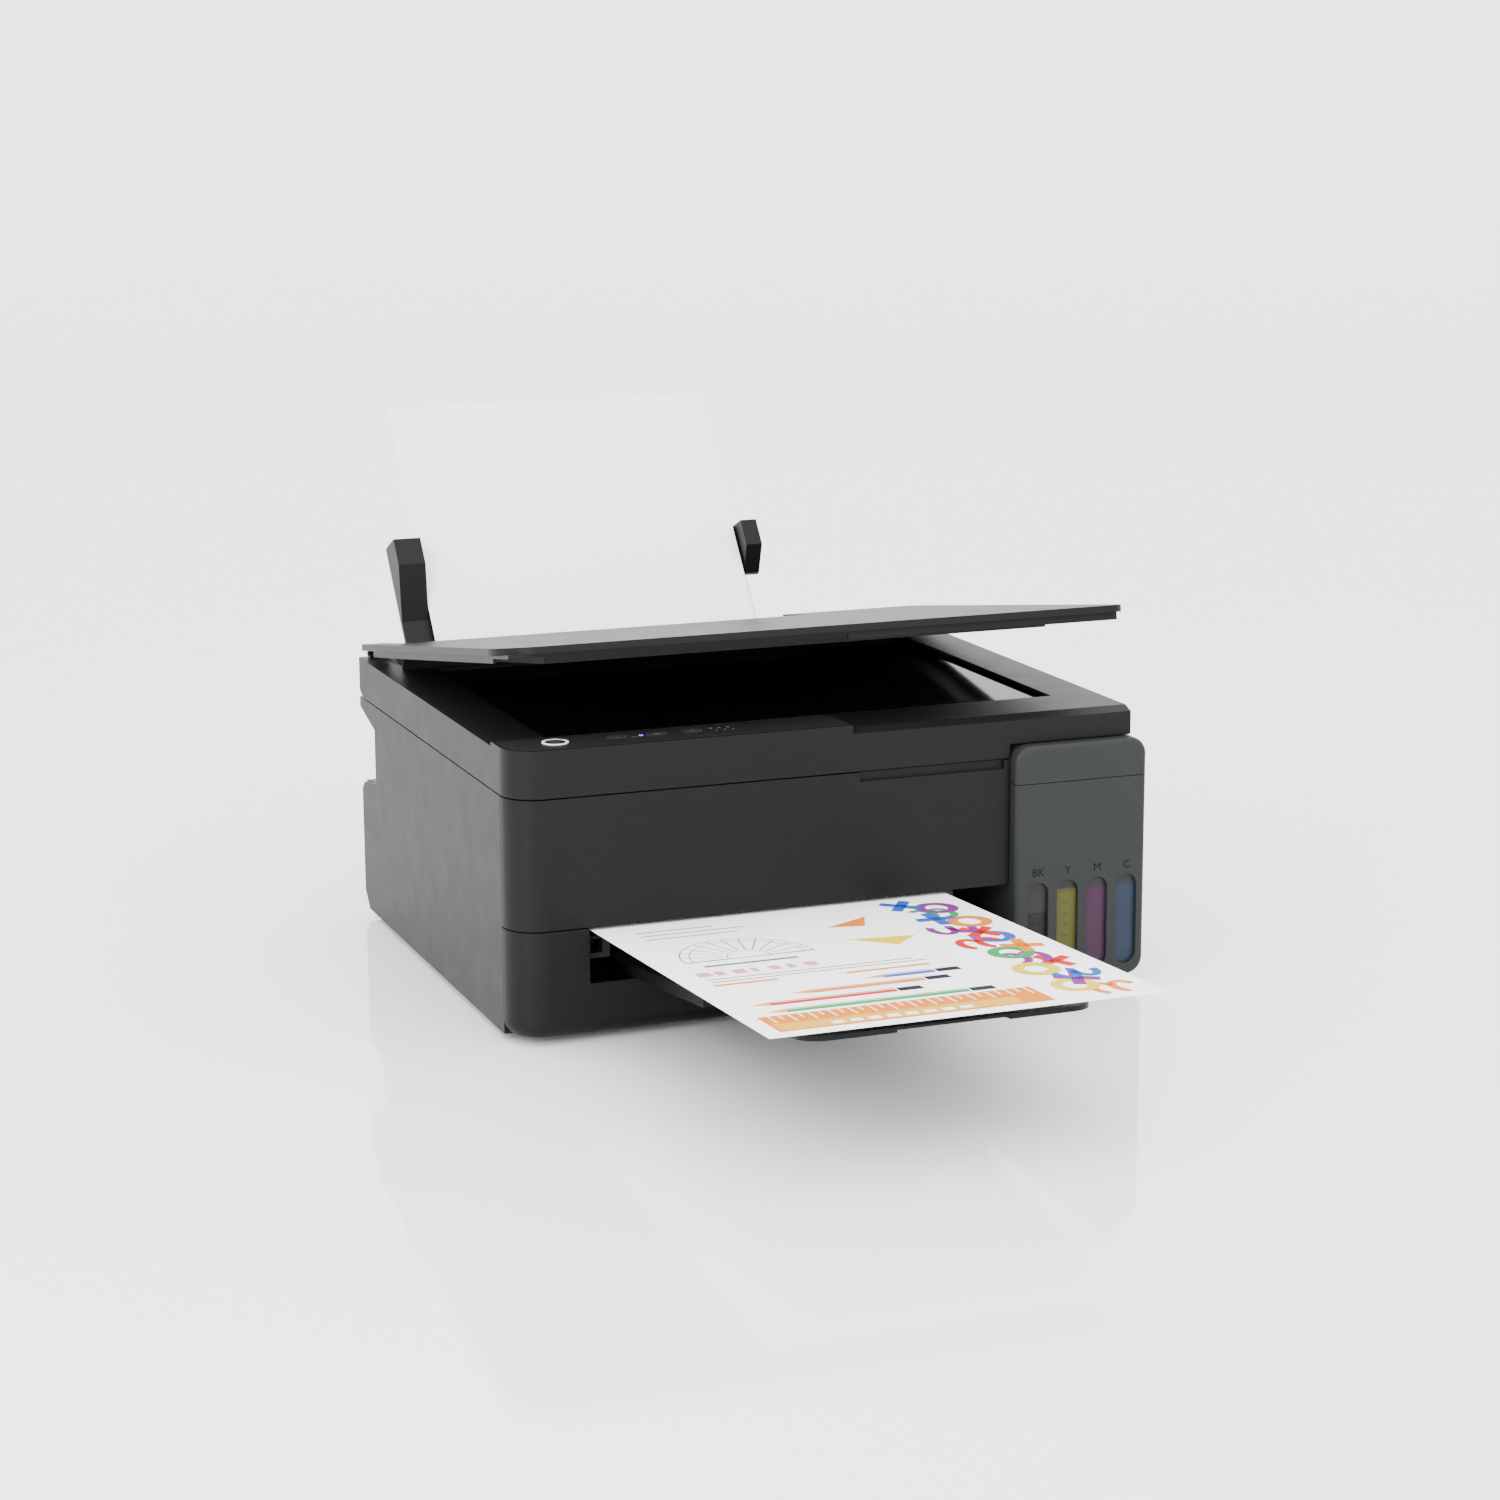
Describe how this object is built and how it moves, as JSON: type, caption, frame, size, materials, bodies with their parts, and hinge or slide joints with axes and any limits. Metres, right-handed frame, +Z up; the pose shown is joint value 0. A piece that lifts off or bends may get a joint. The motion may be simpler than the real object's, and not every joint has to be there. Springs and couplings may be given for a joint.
{
  "type": "inkjet printer",
  "caption": "Desktop ink-tank inkjet printer with a flatbed scanner lid, rear paper feed, front output tray and a tank unit with sight windows.",
  "frame": {"origin": "on the desk under the middle of the case", "axes": "+Z up, the front faces -Y, +X to the right seen from the front"},
  "size_m": [0.375, 0.6546, 0.3054],
  "materials": {
    "case_plastic": "fine-grained charcoal ABS",
    "lid_plastic": "fine-grained charcoal ABS",
    "tank_plastic": "grained mid-grey ABS",
    "panel_plastic": "smooth dark grey control strip",
    "inner_plastic": "black internal moulding",
    "frame_plastic": "grey internal moulding",
    "button_plastic": "satin button",
    "light_plastic": "lit white ring",
    "cell_plastic": "frosted translucent polypropylene",
    "cap_rubber": "matte",
    "foot_rubber": "matte",
    "roller_rubber": "matte grip rubber",
    "steel": "plated sheet and rod",
    "motor_steel": "plated motor can",
    "gear_plastic": "natural acetal",
    "board": "green circuit board",
    "scan_glass": "polished",
    "foam": "black foam pad",
    "belt_rubber": "toothed belt",
    "sheet_paper": "plain white",
    "print_paper": "white with a colour print"
  },
  "bodies": {
    "case": {"front_panel": "case_plastic", "lower_front_panel": "case_plastic", "left_side_panel": "case_plastic", "right_side_panel": "case_plastic", "base_tray": "inner_plastic", "rear_panel": "case_plastic", "case_screws": "steel", "upper_case_frame": "inner_plastic", "rubber_feet": "foot_rubber", "power_inlet": "inner_plastic", "main_board": "board", "power_supply": "inner_plastic", "tank_housing": "tank_plastic", "ink_tank_black": "cell_plastic", "ink_tank_yellow": "cell_plastic", "ink_tank_magenta": "cell_plastic", "ink_tank_cyan": "cell_plastic", "hopper_plate": "frame_plastic", "rear_feed_housing": "case_plastic", "platen": "inner_plastic", "star_wheels": "gear_plastic", "carriage_rail": "steel", "carriage_rod": "steel", "carriage_belt": "belt_rubber", "drive_motors": "motor_steel", "capping_station": "frame_plastic", "tray_housing": "inner_plastic"},
    "scanner_unit": {"scanner_top_frame": "case_plastic", "scanner_lower_tray": "inner_plastic", "scanner_glass": "scan_glass", "control_panel": "panel_plastic", "control_board": "board", "power_ring": "light_plastic", "scan_guide_rod": "steel", "hinge_pins": "steel"},
    "lid": {"document_lid": "lid_plastic", "document_mat": "foam"},
    "print_carriage": {"print_carriage": "inner_plastic", "print_head": "frame_plastic"},
    "scan_carriage": {"scan_carriage": "inner_plastic"},
    "power_button": {"power_button": "button_plastic"},
    "wifi_button": {"wifi_button": "button_plastic"},
    "copy_button": {"copy_button": "button_plastic"},
    "stop_button": {"stop_button": "button_plastic"},
    "tank_cover": {"tank_cover": "tank_plastic"},
    "tank_cap_black": {"tank_cap_black": "cap_rubber"},
    "tank_cap_yellow": {"tank_cap_yellow": "cap_rubber"},
    "tank_cap_magenta": {"tank_cap_magenta": "cap_rubber"},
    "tank_cap_cyan": {"tank_cap_cyan": "cap_rubber"},
    "paper_support": {"paper_support": "case_plastic"},
    "edge_guide_left": {"edge_guide_left": "case_plastic"},
    "edge_guide_right": {"edge_guide_right": "case_plastic"},
    "blank_paper": {"blank_paper": "sheet_paper"},
    "pickup_roller": {"pickup_roller": "roller_rubber"},
    "main_feed_roller": {"main_feed_roller": "steel"},
    "exit_roller": {"exit_roller": "roller_rubber"},
    "idler_gear": {"idler_gear": "gear_plastic"},
    "output_tray_inner": {"output_tray_inner": "case_plastic"},
    "output_tray_outer": {"output_tray_outer": "case_plastic"},
    "printed_page": {"printed_page": "print_paper"}
  },
  "joints": [
    {"name": "scanner_unit_lift", "type": "hinge", "parent": "case", "child": "scanner_unit", "pos_m": [0, 0.148, 0.143], "axis": [1, 0, 0], "range_deg": [-30, 0]},
    {"name": "lid_hinge", "type": "hinge", "parent": "scanner_unit", "child": "lid", "pos_m": [0, 0.151, 0.1645], "axis": [-1, 0, 0], "range_deg": [-9, 62]},
    {"name": "scan_carriage_travel", "type": "slide", "parent": "scanner_unit", "child": "scan_carriage", "axis": [1, 0, 0], "range_m": [0, 0.283]},
    {"name": "power_button_press", "type": "slide", "parent": "scanner_unit", "child": "power_button", "axis": [0, 0, -1], "range_m": [0, 0.0008], "stiffness_N_per_m": 300},
    {"name": "wifi_button_press", "type": "slide", "parent": "scanner_unit", "child": "wifi_button", "axis": [0, 0, -1], "range_m": [0, 0.0008], "stiffness_N_per_m": 300},
    {"name": "copy_button_press", "type": "slide", "parent": "scanner_unit", "child": "copy_button", "axis": [0, 0, -1], "range_m": [0, 0.0008], "stiffness_N_per_m": 300},
    {"name": "stop_button_press", "type": "slide", "parent": "scanner_unit", "child": "stop_button", "axis": [0, 0, -1], "range_m": [0, 0.0008], "stiffness_N_per_m": 300},
    {"name": "tank_cover_hinge", "type": "hinge", "parent": "case", "child": "tank_cover", "pos_m": [0.14645, -0.067, 0.141], "axis": [1, 0, 0], "range_deg": [-66, 0]},
    {"name": "tank_cap_black_lift", "type": "slide", "parent": "case", "child": "tank_cap_black", "axis": [0, 0, 1], "range_m": [0, 0.009]},
    {"name": "tank_cap_yellow_lift", "type": "slide", "parent": "case", "child": "tank_cap_yellow", "axis": [0, 0, 1], "range_m": [0, 0.009]},
    {"name": "tank_cap_magenta_lift", "type": "slide", "parent": "case", "child": "tank_cap_magenta", "axis": [0, 0, 1], "range_m": [0, 0.009]},
    {"name": "tank_cap_cyan_lift", "type": "slide", "parent": "case", "child": "tank_cap_cyan", "axis": [0, 0, 1], "range_m": [0, 0.009]},
    {"name": "paper_support_slide", "type": "slide", "parent": "case", "child": "paper_support", "axis": [0, 0.6018, 0.7986], "range_m": [-0.025, 0]},
    {"name": "edge_guide_left_slide", "type": "slide", "parent": "case", "child": "edge_guide_left", "axis": [-1, 0, 0], "range_m": [0, 0.0055]},
    {"name": "edge_guide_right_slide", "type": "slide", "parent": "case", "child": "edge_guide_right", "axis": [1, 0, 0], "range_m": [0, 0.0055]},
    {"name": "blank_paper_slide", "type": "slide", "parent": "case", "child": "blank_paper", "axis": [0, 0.6018, 0.7986], "range_m": [0, 0.28]},
    {"name": "pickup_roller_spin", "type": "hinge", "parent": "case", "child": "pickup_roller", "pos_m": [0, 0.06042, 0.1024], "axis": [1, 0, 0], "continuous": true},
    {"name": "main_feed_spin", "type": "hinge", "parent": "case", "child": "main_feed_roller", "pos_m": [0, -0.068, 0.052], "axis": [1, 0, 0], "continuous": true},
    {"name": "exit_roller_spin", "type": "hinge", "parent": "case", "child": "exit_roller", "pos_m": [0, -0.128, 0.0546], "axis": [1, 0, 0], "continuous": true},
    {"name": "idler_gear_spin", "type": "hinge", "parent": "case", "child": "idler_gear", "pos_m": [-0.1675, -0.101, 0.0533], "axis": [1, 0, 0], "continuous": true},
    {"name": "print_carriage_travel", "type": "slide", "parent": "case", "child": "print_carriage", "axis": [1, 0, 0], "range_m": [-0.19, 0]},
    {"name": "output_tray_inner_slide", "type": "slide", "parent": "case", "child": "output_tray_inner", "axis": [0, -0.993, 0.1184], "range_m": [-0.11, 0]},
    {"name": "output_tray_outer_slide", "type": "slide", "parent": "output_tray_inner", "child": "output_tray_outer", "axis": [0, -0.993, 0.1184], "range_m": [-0.115, 0]},
    {"name": "printed_page_slide", "type": "slide", "parent": "case", "child": "printed_page", "axis": [0, -0.9985, 0.0551], "range_m": [0, 0.2]}
  ],
  "couplings": [
    {"joint": "tank_cover_hinge", "follows": "scanner_unit_lift", "ratio": 2.2},
    {"joint": "edge_guide_right_slide", "follows": "edge_guide_left_slide", "ratio": 1},
    {"joint": "exit_roller_spin", "follows": "main_feed_spin", "ratio": 1.5},
    {"joint": "idler_gear_spin", "follows": "main_feed_spin", "ratio": -1.2329}
  ]
}
